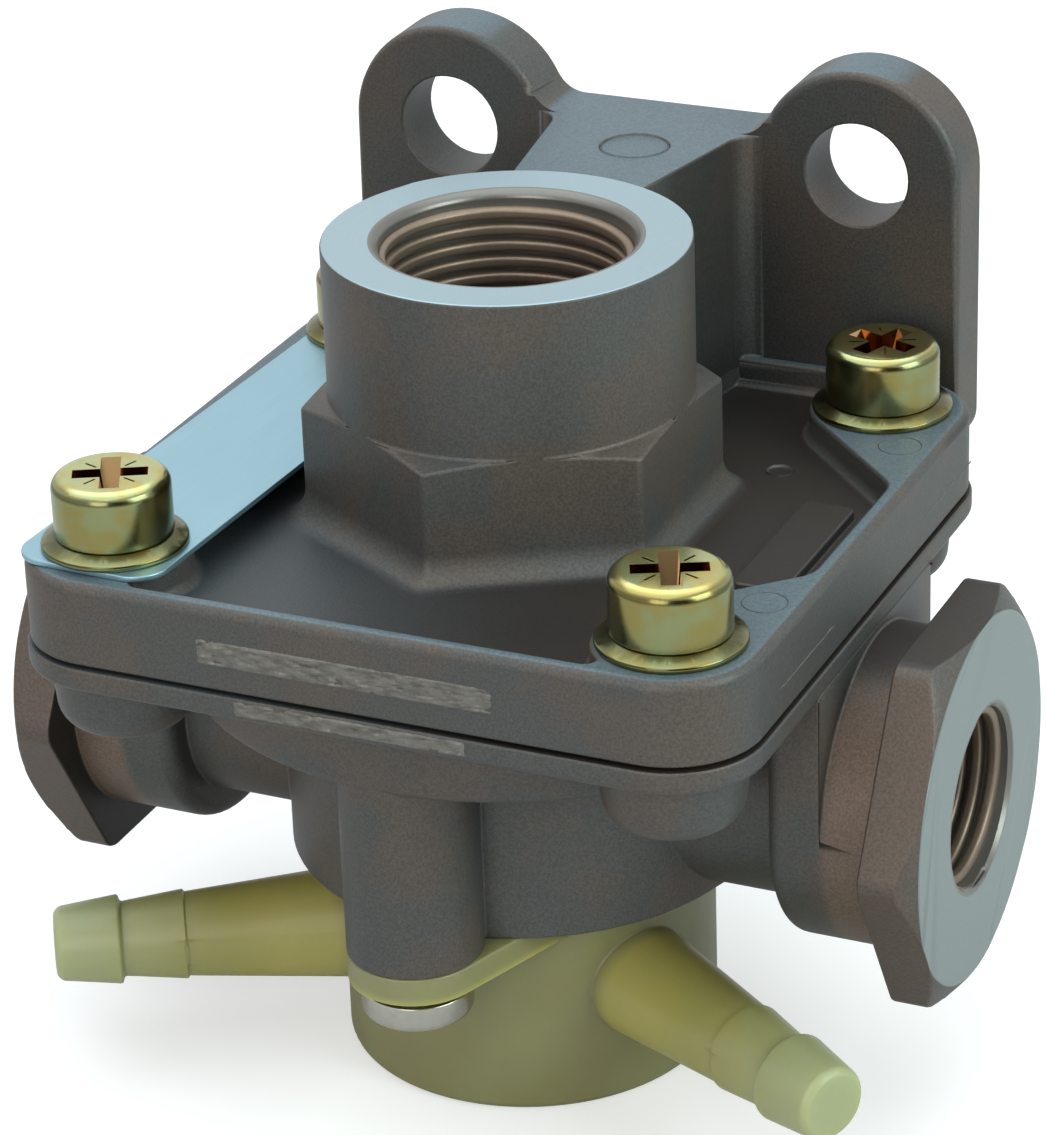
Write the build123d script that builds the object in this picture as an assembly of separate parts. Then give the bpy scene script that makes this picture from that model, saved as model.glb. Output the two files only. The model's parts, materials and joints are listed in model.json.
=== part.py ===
from build123d import *
import math
import os

# Heights of the exhaust cap, the body and the cover, stacked from the flat foot of the cap
cap_height = 20.2
body_height = 27.0
cover_height = 29.8

# Cover plate: raised rim and four screw pads round a sunken floor
screw_pitch_x = 50.8
screw_pitch_y = 50.0
screw_centre_y = -1.0
edge_margin = 7.8
cover_rim = 7.9
valley_depth = 2.7
rim_width = 1.6
pad_clearance = 0.3
valley_corner_radius = 3.0
valley_tip_radius = 0.9
valley_floor_radius = 0.9
seam_height = 0.3
seam_depth = 1.4
tablet_width = 4.8
tablet_length = 17.5
tablet_thickness = 0.9
tablet_inset = 2.3
tablet_shift = -1.2
tablet_corner = 0.8

# Inlet boss on the cover, with a spanner hexagon at its foot
spanner_width = 32.0
inlet_hexagon_height = 10.0
inlet_hexagon_foot = 2.6
hexagon_edge_radius = 0.8
hexagon_cone_angle = 16.0
inlet_thread_radius = 11.0
inlet_thread_depth = 16.0
inlet_chamfer = 0.55
inlet_passage_radius = 8.4
inlet_seat_width = 2.0

# Bracket with two ears behind the inlet boss, tied to it by a tapered web
bracket_inset = 0.4
bracket_thickness = 6.6
bracket_edge_radius = 0.8
bracket_corner_radius = 3.0
ear_spacing = 40.3
ear_radius = 9.7
ear_hole_radius = 4.85
ear_drop = 3.15
web_drop = 0.45
web_half_width = 9.2
web_taper = 0.19
web_fillet = 2.6

# Ejector marks, each a shallow round dimple: x, y and radius
ejector_depth = 0.15
web_ejector = (1.2, 25.4, 3.1)
pad_ejectors = ((29.3, 17.3, 1.7), (29.9, -16.3, 1.7))
floor_ejector = (19.6, 13.4, 1.2)

# Body casting
flange_thickness = 2.2
flange_overhang = 0.3
flange_edge_radius = 0.7
bowl_wall = 5.8
bowl_depth = 9.2
bowl_edge_radius = 1.0
lower_body_wall = 3.8
screw_boss_radius = 6.4
screw_boss_tip_radius = 5.8
screw_boss_depth = 8.2
screw_boss_rounding = 2.5

# Side outlets
outlet_rise = 10.6
outlet_overhang = 10.0
outlet_thread_radius = 8.0
outlet_thread_depth = 14.0
outlet_passage_radius = 7.1
outlet_chamfer = 0.35
outlet_spanner_width = 32.8
flange_corner_radius = 2.5
flange_hexagon_length = 4.8
flange_cone_depth = 1.7
collar_gap = 0.1
saddle_length = 5.0
saddle_rounding = 1.6
neck_radius = 11.2

# Chambers and seats
chamber_radius = 24.2
cover_chamber_depth = 3.0
body_chamber_depth = 6.2
ring_chamber_radius = 17.5
ring_chamber_floor = 3.4
exhaust_tube_wall = 2.6
exhaust_bore_radius = 7.0
exhaust_hole_radius = 4.2
exhaust_seat_drop = 2.3
spring_ledge_drop = 14.2

# Diaphragm, spring seat and spring
diaphragm_clearance = 1.7
diaphragm_thickness = 2.2
diaphragm_edge = 0.7
diaphragm_gap = 0.2
diaphragm_travel = 1.5
travel_reserve = 0.3
seat_clearance = 0.5
spring_seat_thickness = 1.3
flow_notches = 4
flow_notch_radius = 1.2
spring_guide_radius = 3.6
spring_guide_length = 4.0
spring_guide_chamfer = 0.6
spring_wire_radius = 0.5
spring_turns = 3.0
spring_end_gap = 0.02

# Seals
seal_offset = 2.8
cover_seal_width = 2.0
cover_seal_height = 1.5
cap_seal_width = 1.3
cap_seal_height = 1.0
groove_clearance = 0.05

# Cover screws and washers
cover_screw_radius = 3.0
cover_screw_length = 14.0
screw_end_gap = 0.6
screw_tip_chamfer = 0.6
hole_clearance = 0.3
thread_clearance = 0.05
cover_head_radius = 5.1
cover_head_height = 5.3
cover_head_edge = 0.9
recess_width = 1.7
recess_span = 6.4
recess_depth = 2.8
recess_tip_radius = 0.6
recess_turns = {"front_left": 27.0, "front_right": 25.0, "rear_left": 10.0, "rear_right": -20.0}
washer_radius = 6.3
washer_thickness = 1.1
washer_rim = 0.5

# Name plate under the two left screws, a little askew
name_plate_clearance = 1.65
name_plate_margin = 5.8
name_plate_thickness = 0.5
name_plate_corner = 3.0
name_plate_shift = 0.8
name_plate_turn = -2.2

# Exhaust cap with its lugs, screws and hose barbs
cap_radius = 17.0
cap_wall = 3.0
cap_floor = 2.6
cap_foot_radius = 0.9
lug_offset = 6.8
lug_radius = 6.0
lug_angles = (270.0, 30.0, 150.0)
cap_lug_thickness = 2.6
cap_screw_radius = 2.5
cap_screw_length = 11.0
cap_screw_collar_radius = 4.0
cap_screw_collar_height = 0.9
cap_screw_head_radius = 4.9
cap_screw_head_height = 2.5
cap_screw_head_edge = 0.5
barb_angles = (210.0, 330.0)
barb_height = 11.3
barb_length = 26.5
barb_root_radius = 5.2
barb_root_embed = 1.0
barb_neck_radius = 3.85
barb_tip_radius = 3.4
barb_ridge_radius = 4.1
barb_ridge_spacing = 5.9
barb_ridge_step = 0.2
barb_ridges = 2
barb_bore_radius = 1.7
barb_end_wall = 2.0
barb_tip_edge = 0.5

# Sizes that follow from the ones above
joint_height = cap_height + body_height
inlet_height = joint_height + cover_height
outlet_height = cap_height + outlet_rise
rim_height = joint_height + cover_rim
valley_height = rim_height - valley_depth
cover_width = screw_pitch_x + 2 * edge_margin
cover_length = screw_pitch_y + 2 * edge_margin
outer_edge_radius = 0.6 * rim_width
inner_edge_radius = 0.25 * rim_width
bracket_front = screw_centre_y + cover_length / 2 - bracket_inset
ear_height = inlet_height - ear_drop
web_height = inlet_height - web_drop
inlet_boss_radius = spanner_width / 2
inlet_hexagon_corner = inlet_boss_radius / math.cos(math.radians(30))
outlet_face_radius = outlet_spanner_width / 2
outlet_hexagon_corner = outlet_face_radius / math.cos(math.radians(30))
flange_bottom = joint_height - flange_thickness
bowl_radius = chamber_radius + bowl_wall
bowl_bottom = joint_height - bowl_depth
lower_body_radius = ring_chamber_radius + lower_body_wall
outlet_reach = cover_width / 2 + outlet_overhang
flange_back = outlet_reach - flange_hexagon_length
saddle_reach = cover_width / 2 + flange_overhang
collar_radius = flange_bottom - outlet_height - collar_gap
exhaust_tube_radius = exhaust_bore_radius + exhaust_tube_wall
exhaust_seat_height = joint_height - exhaust_seat_drop
spring_ledge = joint_height - spring_ledge_drop
spring_mean_radius = (spring_guide_radius + exhaust_bore_radius) / 2
diaphragm_radius = chamber_radius - diaphragm_clearance
diaphragm_bottom = exhaust_seat_height + diaphragm_travel + travel_reserve
diaphragm_top = diaphragm_bottom + diaphragm_thickness
spring_seat_bottom = diaphragm_bottom - spring_seat_thickness
inlet_seat_height = diaphragm_top + diaphragm_gap
cover_seal_radius = chamber_radius + seal_offset
cap_seal_radius = cap_radius - cap_wall / 2
name_plate_width = screw_pitch_x - spanner_width - 2 * (name_plate_shift + name_plate_clearance)
cover_hole_radius = cover_screw_radius + hole_clearance
cap_hole_radius = cap_screw_radius + hole_clearance
cap_lug_bottom = cap_height - cap_lug_thickness
lug_circle = cap_radius + lug_offset
barb_reach = cap_radius + barb_length
screw_places = {
    "front_left": (-screw_pitch_x / 2, screw_centre_y - screw_pitch_y / 2),
    "front_right": (screw_pitch_x / 2, screw_centre_y - screw_pitch_y / 2),
    "rear_left": (-screw_pitch_x / 2, screw_centre_y + screw_pitch_y / 2),
    "rear_right": (screw_pitch_x / 2, screw_centre_y + screw_pitch_y / 2),
}
over = 1.0


def post(radius, bottom, top, x=0.0, y=0.0):
    return Pos(x, y, (bottom + top) / 2) * Cylinder(radius, top - bottom)


def tube(outer, inner, bottom, top):
    return post(outer, bottom, top) - post(inner, bottom - over, top + over)


def side_bar(radius, start, end, height):
    return Pos((start + end) / 2, 0, height) * Rot(0, 90, 0) * Cylinder(radius, end - start)


def facing_x(x, z=0.0):
    # Sketch plane across the outlet axis: its own X runs to the rear and its own Y upwards
    return Plane(origin=(x, 0, z), x_dir=(0, 1, 0), z_dir=(1, 0, 0))


def plate_outline(grow=0.0):
    outline = RectangleRounded(cover_width + 2 * grow, cover_length + 2 * grow, edge_margin + grow)
    return Pos(0, screw_centre_y) * outline


def lug_place(angle):
    return lug_circle * math.cos(math.radians(angle)), lug_circle * math.sin(math.radians(angle))


def screw_pad(side, end):
    # Round the screw, then off at 45 degrees to the side rim; it fills the corner behind
    x = side * screw_pitch_x / 2
    y = end * screw_pitch_y / 2
    radius = washer_radius + pad_clearance
    tangent_x = x - side * radius / math.sqrt(2)
    tangent_y = y - end * radius / math.sqrt(2)
    edge_x = side * cover_width / 2
    edge_y = end * cover_length / 2
    wedge = Polyline(
        (x, y),
        (tangent_x, tangent_y),
        (edge_x, tangent_y - end * abs(edge_x - tangent_x)),
        (edge_x, edge_y),
        (x, edge_y),
        close=True,
    )
    return Pos(x, y) * Circle(radius) + make_face(wedge)


def valley_floor():
    # Inside of the rim without the pads: blunt at the side rims, narrow tips at the front and rear
    half_width = cover_width / 2 - rim_width
    half_length = cover_length / 2 - rim_width
    floor = Rectangle(2 * half_width, 2 * half_length)
    for side in (-1, 1):
        for end in (-1, 1):
            floor -= screw_pad(side, end)
    blunt = [vertex for vertex in floor.vertices() if half_width - abs(vertex.X) < 0.01]
    floor = fillet(blunt, valley_corner_radius)
    tips = [vertex for vertex in floor.vertices() if half_length - abs(vertex.Y) < 0.01]
    return fillet(tips, valley_tip_radius)


def cover_plate():
    plate = extrude(Pos(0, 0, joint_height) * plate_outline(), cover_rim)
    valley = extrude(Pos(0, screw_centre_y, valley_height) * valley_floor(), valley_depth + over)
    plate -= fillet(valley.edges().group_by(Axis.Z)[0], valley_floor_radius)
    plate = fillet(plate.faces().sort_by(Axis.Z)[-1].outer_wire().edges(), outer_edge_radius)
    plate = fillet(plate.faces().sort_by(Axis.Z)[-1].inner_wires()[0].edges(), inner_edge_radius)
    tablet_x = cover_width / 2 - rim_width - tablet_inset - tablet_width / 2
    tablet = RectangleRounded(tablet_width, tablet_length, tablet_corner)
    tablet_place = Pos(tablet_x, screw_centre_y + tablet_shift, valley_height - over)
    return plate + extrude(tablet_place * tablet, over + tablet_thickness)


def bracket_plate():
    back = Plane(origin=(0, bracket_front + bracket_thickness, 0), x_dir=(1, 0, 0), z_dir=(0, -1, 0))
    foot = Pos(0, (joint_height + ear_height) / 2)
    foot *= Rectangle(ear_spacing + 2 * ear_radius, ear_height - joint_height)
    foot = fillet(foot.vertices().group_by(Axis.Y)[0], bracket_corner_radius)
    saddle = Pos(0, (ear_height + web_height) / 2) * Rectangle(ear_spacing, web_height - ear_height)
    ears = Pos(-ear_spacing / 2, ear_height) * Circle(ear_radius)
    ears += Pos(ear_spacing / 2, ear_height) * Circle(ear_radius)
    shape = foot + saddle + ears
    runouts = [
        vertex
        for vertex in shape.vertices()
        if abs(vertex.Y - web_height) < 0.01 and abs(vertex.X) < ear_spacing / 2
    ]
    plate = extrude(back * fillet(runouts, bracket_corner_radius), bracket_thickness)
    return fillet(plate.edges().group_by(Axis.Y)[-1], bracket_edge_radius)


def bracket():
    # Plate and web, blended where the web's sides meet the plate
    boss_half_width = web_half_width - web_taper * bracket_front
    outline = Polyline(
        (-web_half_width, bracket_front + over),
        (web_half_width, bracket_front + over),
        (web_half_width, bracket_front),
        (boss_half_width, 0),
        (-boss_half_width, 0),
        (-web_half_width, bracket_front),
        close=True,
    )
    web_bottom = valley_height - over
    web = extrude(Pos(0, 0, web_bottom) * make_face(outline), web_height - web_bottom)
    joined = bracket_plate() + web
    corners = [
        edge
        for edge in joined.edges().filter_by(Axis.Z)
        if abs(abs(edge.center().X) - web_half_width) < 0.05
        and abs(edge.center().Y - bracket_front) < 0.05
    ]
    return fillet(corners, web_fillet)


def inlet_hexagon():
    # A cone turns off the corners, which leaves a curved arc on each flat; the foot is blended
    outline = RegularPolygon(inlet_hexagon_corner, 6, rotation=30)
    outline = fillet(outline.vertices(), hexagon_edge_radius)
    rise = (inlet_hexagon_corner - inlet_boss_radius) * math.tan(math.radians(hexagon_cone_angle))
    corner_top = valley_height + inlet_hexagon_height
    base_radius = inlet_hexagon_corner + 2 * inlet_hexagon_foot
    hexagon = extrude(Pos(0, 0, valley_height) * outline, inlet_hexagon_height + rise)
    hexagon &= post(base_radius, valley_height, corner_top) + Pos(0, 0, corner_top + rise / 2) * Cone(
        inlet_hexagon_corner, inlet_boss_radius, rise
    )
    hexagon += post(base_radius, valley_height - over, valley_height)
    foot = [
        edge
        for edge in hexagon.edges().filter_by_position(Axis.Z, valley_height, valley_height)
        if abs(edge.center(CenterOf.BOUNDING_BOX).X) + abs(edge.center(CenterOf.BOUNDING_BOX).Y) > over
    ]
    return fillet(foot, inlet_hexagon_foot)


def inlet_boss():
    return post(inlet_boss_radius, valley_height, inlet_height) + inlet_hexagon()


def ejector_mark(x, y, radius, surface):
    return post(radius, surface - ejector_depth, surface + over, x, y)


def cover():
    casting = cover_plate() + bracket() + inlet_boss()
    seam = plate_outline(over) - plate_outline(-seam_depth)
    casting -= extrude(Pos(0, 0, joint_height - over) * seam, over + seam_height)
    for x, y in screw_places.values():
        casting -= post(cover_hole_radius, joint_height - over, rim_height + over, x, y)
    for side in (-1, 1):
        hole = Pos(side * ear_spacing / 2, bracket_front, ear_height) * Rot(90, 0, 0)
        casting -= hole * Cylinder(ear_hole_radius, 3 * bracket_thickness)
    chamber_top = joint_height + cover_chamber_depth
    thread_bottom = inlet_height - inlet_thread_depth
    casting -= post(chamber_radius, joint_height - over, chamber_top)
    casting += post(inlet_passage_radius + inlet_seat_width, inlet_seat_height, chamber_top + over / 2)
    casting -= post(inlet_passage_radius, inlet_seat_height - over, thread_bottom + over)
    casting -= post(inlet_thread_radius, thread_bottom, inlet_height + over)
    mouth = Cone(inlet_thread_radius, inlet_thread_radius + inlet_chamfer, inlet_chamfer)
    casting -= Pos(0, 0, inlet_height - inlet_chamfer / 2) * mouth
    casting -= ejector_mark(*web_ejector, web_height)
    casting -= ejector_mark(*floor_ejector, valley_height)
    for mark in pad_ejectors:
        casting -= ejector_mark(*mark, valley_height)
    return casting


def outlet_flange():
    # Hexagon with flats up and down, its corners turned down to the round sealing face
    outline = RegularPolygon(outlet_hexagon_corner, 6)
    outline = fillet(outline.vertices(), flange_corner_radius)
    straight = flange_hexagon_length - flange_cone_depth
    turned = post(outlet_hexagon_corner, -over, straight)
    turned += Pos(0, 0, straight + flange_cone_depth / 2) * Cone(
        outlet_hexagon_corner, outlet_face_radius, flange_cone_depth
    )
    return facing_x(flange_back, outlet_height) * (extrude(outline, flange_hexagon_length) & turned)


def outlet_side():
    # The outlet on the +X side: neck, saddle under the flange of the body, collar and hexagon
    top = flange_bottom + flange_thickness / 4
    section = Pos(0, outlet_height) * Circle(collar_radius)
    section += Pos(0, (outlet_height + top) / 2) * Rectangle(2 * collar_radius, top - outlet_height)
    saddle = extrude(facing_x(saddle_reach) * section, -saddle_length)
    inner_rim = saddle.edges().group_by(Axis.X)[0].filter_by(lambda edge: edge.center().Z < flange_bottom)
    side = fillet(inner_rim, saddle_rounding)
    neck = side_bar(neck_radius, 0, saddle_reach - saddle_length + over, outlet_height)
    side += neck - Pos(0, 0, cap_height) * Box(
        2 * outlet_reach, 2 * neck_radius, 2 * neck_radius, align=(Align.CENTER, Align.CENTER, Align.MAX)
    )
    side += side_bar(collar_radius, saddle_reach - over, flange_back + over / 2, outlet_height)
    return side + outlet_flange()


def outlet_bore():
    thread_end = outlet_reach - outlet_thread_depth
    bore = side_bar(outlet_thread_radius, thread_end, outlet_reach + over, outlet_height)
    bore += side_bar(outlet_passage_radius, exhaust_tube_radius + over, thread_end + over, outlet_height)
    mouth = Cone(outlet_thread_radius, outlet_thread_radius + outlet_chamfer, outlet_chamfer)
    return bore + Pos(outlet_reach - outlet_chamfer / 2, 0, outlet_height) * Rot(0, 90, 0) * mouth


def screw_boss(x, y):
    # Rounded end and a slight draft down from the flange
    height = screw_boss_depth - flange_thickness
    cone = Cone(screw_boss_tip_radius, screw_boss_radius, height)
    cone = fillet(cone.edges().group_by(Axis.Z)[0], screw_boss_rounding)
    top = post(screw_boss_radius, flange_bottom, flange_bottom + flange_thickness / 2, x, y)
    return Pos(x, y, flange_bottom - height / 2) * cone + top


def body_outside():
    flange = extrude(Pos(0, 0, flange_bottom) * plate_outline(flange_overhang), flange_thickness)
    casting = fillet(flange.edges().group_by(Axis.Z)[0], flange_edge_radius)
    bowl = post(bowl_radius, bowl_bottom, flange_bottom + over)
    casting += fillet(bowl.edges().group_by(Axis.Z)[0], bowl_edge_radius)
    casting += post(lower_body_radius, cap_height, bowl_bottom + over)
    for x, y in screw_places.values():
        casting += screw_boss(x, y)
    for angle in lug_angles:
        casting += post(lug_radius, cap_height, bowl_bottom + over, *lug_place(angle))
    side = outlet_side()
    return casting + side + mirror(side, Plane.YZ)


def body():
    casting = body_outside()
    casting -= post(chamber_radius, joint_height - body_chamber_depth, joint_height + over)
    casting -= post(ring_chamber_radius, cap_height + ring_chamber_floor, joint_height)
    bore = outlet_bore()
    casting -= bore + mirror(bore, Plane.YZ)
    casting += post(exhaust_tube_radius, cap_height + over, exhaust_seat_height)
    casting -= post(exhaust_bore_radius, spring_ledge, joint_height)
    casting -= post(exhaust_hole_radius, cap_height - over, joint_height)
    groove_half = cover_seal_width / 2 + groove_clearance
    casting -= tube(
        cover_seal_radius + groove_half,
        cover_seal_radius - groove_half,
        joint_height - cover_seal_height,
        joint_height + over,
    )
    hole_bottom = rim_height - cover_screw_length - screw_end_gap
    for x, y in screw_places.values():
        casting -= post(cover_screw_radius + thread_clearance, hole_bottom, joint_height + over, x, y)
    hole_top = cap_lug_bottom + cap_screw_length + screw_end_gap
    for angle in lug_angles:
        casting -= post(cap_screw_radius + thread_clearance, cap_height - over, hole_top, *lug_place(angle))
    return casting


def barb():
    # Turned about +X: a long tapered neck, then ridges that are steep behind and slope to the tip
    root = cap_radius - cap_wall
    outline = [(root, 0), (root, barb_root_radius), (cap_radius - barb_root_embed, barb_root_radius)]
    foot_radius = barb_neck_radius
    for ridge in range(barb_ridges, 0, -1):
        ridge_start = barb_reach - ridge * barb_ridge_spacing
        outline.append((ridge_start - barb_ridge_step, foot_radius))
        outline.append((ridge_start, barb_ridge_radius))
        foot_radius = barb_tip_radius
    outline.append((barb_reach - barb_tip_edge, barb_tip_radius))
    outline.append((barb_reach, barb_tip_radius - barb_tip_edge))
    outline.append((barb_reach, 0))
    return Pos(0, 0, barb_height) * revolve(make_face(Polyline(*outline, close=True)), Axis.X)


def exhaust_cap():
    # Moulded cup with three screw lugs, whose edges run tangent to the cup, and two hose barbs
    cap = post(cap_radius, 0, cap_height)
    cap = fillet(cap.edges().group_by(Axis.Z)[0], cap_foot_radius)
    lug = make_hull(Circle(cap_radius - cap_wall).edges() + (Pos(lug_circle, 0) * Circle(lug_radius)).edges())
    for angle in lug_angles:
        cap += Rot(0, 0, angle) * extrude(Pos(0, 0, cap_lug_bottom) * lug, cap_lug_thickness)
    for angle in barb_angles:
        cap += Rot(0, 0, angle) * barb()
    cap -= post(cap_radius - cap_wall, cap_floor, cap_height + over)
    for angle in barb_angles:
        cap -= Rot(0, 0, angle) * side_bar(barb_bore_radius, 0, barb_reach - barb_end_wall, barb_height)
    groove_half = cap_seal_width / 2 + groove_clearance
    cap -= tube(
        cap_seal_radius + groove_half,
        cap_seal_radius - groove_half,
        cap_height - cap_seal_height,
        cap_height + over,
    )
    for angle in lug_angles:
        cap -= post(cap_hole_radius, cap_lug_bottom - over, cap_height + over, *lug_place(angle))
    return cap


def seal_ring(radius, width, height, top):
    return tube(radius + width / 2, radius - width / 2, top - height, top)


def diaphragm():
    disc = post(diaphragm_radius, diaphragm_bottom, diaphragm_top)
    return chamfer(disc.edges().filter_by(GeomType.CIRCLE), diaphragm_edge)


def spring_seat():
    # Thin disc with flow notches round its edge and a spigot that guides the spring
    radius = exhaust_bore_radius - seat_clearance
    seat = post(radius, spring_seat_bottom, diaphragm_bottom)
    notch = post(flow_notch_radius, spring_seat_bottom - over, diaphragm_bottom + over, radius)
    for k in range(flow_notches):
        seat -= Rot(0, 0, (k + 0.5) * 360 / flow_notches) * notch
    spigot = post(spring_guide_radius, spring_seat_bottom - spring_guide_length, spring_seat_bottom)
    return seat + chamfer(spigot.edges().group_by(Axis.Z)[0], spring_guide_chamfer)


def return_spring():
    top = spring_seat_bottom - spring_end_gap - spring_wire_radius
    bottom = spring_ledge + spring_end_gap + spring_wire_radius
    coil = Helix((top - bottom) / spring_turns, top - bottom, spring_mean_radius)
    path = Pos(0, 0, bottom) * coil
    return sweep(Plane(origin=path @ 0, z_dir=path % 0) * Circle(spring_wire_radius), path)


def cross_recess():
    # Recess of a cross-head screw, open at z = 0 and tapering downwards
    arm = Box(recess_span, recess_width, 2 * recess_depth)
    taper = Pos(0, 0, -recess_depth / 2) * Cone(recess_tip_radius, recess_span / 2, recess_depth)
    return (arm + Rot(0, 0, 90) * arm) & taper


def cover_screw(x, y, seat, turn):
    head_top = seat + cover_head_height
    head = post(cover_head_radius, seat, head_top)
    head = chamfer(head.edges().group_by(Axis.Z)[-1], cover_head_edge)
    shank = post(cover_screw_radius, rim_height - cover_screw_length, seat)
    shank = chamfer(shank.edges().group_by(Axis.Z)[0], screw_tip_chamfer)
    return Pos(x, y, 0) * (head + shank - Pos(0, 0, head_top) * Rot(0, 0, turn) * cross_recess())


def cover_washer(x, y, seat):
    # Its top slopes down from under the screw head to a thin rim
    slope = washer_thickness - washer_rim
    washer = post(washer_radius, seat, seat + washer_rim)
    washer += Pos(0, 0, seat + washer_rim + slope / 2) * Cone(washer_radius, cover_head_radius, slope)
    return Pos(x, y, 0) * (washer - post(cover_hole_radius, seat - over, seat + washer_thickness + over))


def name_plate():
    outline = RectangleRounded(name_plate_width, screw_pitch_y + 2 * name_plate_margin, name_plate_corner)
    place = Pos(name_plate_shift - screw_pitch_x / 2, screw_centre_y, rim_height)
    plate = extrude(place * Rot(0, 0, name_plate_turn) * outline, name_plate_thickness)
    for corner in ("front_left", "rear_left"):
        plate -= post(cover_hole_radius, rim_height - over, rim_height + over, *screw_places[corner])
    return plate


def cap_screw(angle):
    # The head hangs under its lug on a narrower collar
    head_top = cap_lug_bottom - cap_screw_collar_height
    head_bottom = head_top - cap_screw_head_height
    head = post(cap_screw_head_radius, head_bottom, head_top)
    head = chamfer(head.edges().filter_by(GeomType.CIRCLE), cap_screw_head_edge)
    collar = post(cap_screw_collar_radius, head_top, cap_lug_bottom)
    shank = post(cap_screw_radius, cap_lug_bottom, cap_lug_bottom + cap_screw_length)
    shank = chamfer(shank.edges().group_by(Axis.Z)[-1], screw_tip_chamfer)
    screw = head + collar + shank - Pos(0, 0, head_bottom) * Rot(180, 0, 0) * cross_recess()
    return Pos(*lug_place(angle), 0) * screw


nodes = {
    "cover": cover(),
    "body": body(),
    "exhaust_cap": exhaust_cap(),
    "name_plate": name_plate(),
    "diaphragm": diaphragm(),
    "spring_seat": spring_seat(),
    "return_spring": return_spring(),
    "cover_seal": seal_ring(cover_seal_radius, cover_seal_width, cover_seal_height, joint_height),
    "cap_seal": seal_ring(cap_seal_radius, cap_seal_width, cap_seal_height, cap_height),
}
for corner, (x, y) in screw_places.items():
    washer_seat = rim_height
    if corner.endswith("left"):
        washer_seat += name_plate_thickness
    nodes["cover_washer_" + corner] = cover_washer(x, y, washer_seat)
    head_seat = washer_seat + washer_thickness
    nodes["cover_screw_" + corner] = cover_screw(x, y, head_seat, recess_turns[corner])
for number, angle in enumerate(lug_angles, start=1):
    nodes["cap_screw_" + str(number)] = cap_screw(angle)

os.makedirs("parts", exist_ok=True)
for name, solid in nodes.items():
    export_step(solid, "parts/" + name + ".step")
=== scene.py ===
import bpy
import bmesh
import json
import math
from mathutils import Matrix, Vector
from mathutils import noise as spaceNoise


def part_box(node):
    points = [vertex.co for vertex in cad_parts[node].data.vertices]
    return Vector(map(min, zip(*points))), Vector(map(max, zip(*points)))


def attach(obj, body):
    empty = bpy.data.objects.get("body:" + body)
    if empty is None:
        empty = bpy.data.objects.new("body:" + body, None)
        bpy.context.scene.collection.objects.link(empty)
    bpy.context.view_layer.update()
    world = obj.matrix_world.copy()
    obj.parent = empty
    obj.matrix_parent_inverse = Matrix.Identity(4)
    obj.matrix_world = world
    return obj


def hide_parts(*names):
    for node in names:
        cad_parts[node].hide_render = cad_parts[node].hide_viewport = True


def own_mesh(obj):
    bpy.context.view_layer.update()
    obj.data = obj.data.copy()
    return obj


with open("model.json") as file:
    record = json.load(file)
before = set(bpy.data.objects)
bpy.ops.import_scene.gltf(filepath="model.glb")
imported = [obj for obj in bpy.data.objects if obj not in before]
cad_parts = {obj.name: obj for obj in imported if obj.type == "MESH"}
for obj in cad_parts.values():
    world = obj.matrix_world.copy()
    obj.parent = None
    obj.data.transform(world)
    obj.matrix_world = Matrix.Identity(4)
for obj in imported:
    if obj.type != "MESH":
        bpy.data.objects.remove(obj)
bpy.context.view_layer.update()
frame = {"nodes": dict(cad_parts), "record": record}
mm = 0.001
white = (1, 1, 1, 1)
print("frame loaded:", len(frame["nodes"]), "nodes")


# Node helpers, for shader trees and geometry trees alike

def setInput(tree, socket, value):
    # Another node's output is linked, anything else is set on the socket itself
    if isinstance(value, bpy.types.NodeSocket):
        tree.links.new(value, socket)
    else:
        socket.default_value = value


def fill(tree, node, values):
    for name, value in values.items():
        setInput(tree, node.inputs[name], value)


def addNode(tree, kind, settings=None, **inputs):
    # Settings are the node's own properties; an input is given by its name, or as i0, i1 and so on
    node = tree.nodes.new(kind)
    for key, value in (settings or {}).items():
        setattr(node, key, value)
    for key, value in inputs.items():
        isNumber = key[0] == "i" and key[1:].isdigit()
        setInput(tree, node.inputs[int(key[1:]) if isNumber else key], value)
    return node


def maths(tree, operation, a, b=0.0, c=0.0):
    return addNode(tree, "ShaderNodeMath", {"operation": operation}, i0=a, i1=b, i2=c).outputs[0]


def plus(tree, a, b):
    return maths(tree, "ADD", a, b)


def minus(tree, a, b):
    return maths(tree, "SUBTRACT", a, b)


def times(tree, a, b):
    return maths(tree, "MULTIPLY", a, b)


def rest(tree, share):
    return minus(tree, 1.0, share)


def negative(tree, a):
    return times(tree, a, -1.0)


def absolute(tree, a):
    return maths(tree, "ABSOLUTE", a)


def larger(tree, a, b):
    return maths(tree, "MAXIMUM", a, b)


def isAbove(tree, a, limit):
    return maths(tree, "GREATER_THAN", a, limit)


def isBelow(tree, a, limit):
    return maths(tree, "LESS_THAN", a, limit)


def distance(tree, a, b):
    return maths(tree, "SQRT", plus(tree, times(tree, a, a), times(tree, b, b)))


def vector(tree, x=0.0, y=0.0, z=0.0):
    return addNode(tree, "ShaderNodeCombineXYZ", i0=x, i1=y, i2=z).outputs[0]


def mixColour(tree, factor, a, b):
    node = addNode(tree, "ShaderNodeMix", {"data_type": "RGBA"})
    for name, value in (("Factor", factor), ("A", a), ("B", b)):
        setInput(tree, [s for s in node.inputs if s.name == name and s.enabled][0], value)
    return [s for s in node.outputs if s.enabled][0]


def scaleVector(tree, given, factor):
    return addNode(tree, "ShaderNodeVectorMath", {"operation": "SCALE"}, i0=given, Scale=factor).outputs[0]


def stretch(tree, place, factors):
    return addNode(tree, "ShaderNodeVectorMath", {"operation": "MULTIPLY"}, i0=place, i1=factors).outputs[0]


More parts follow.
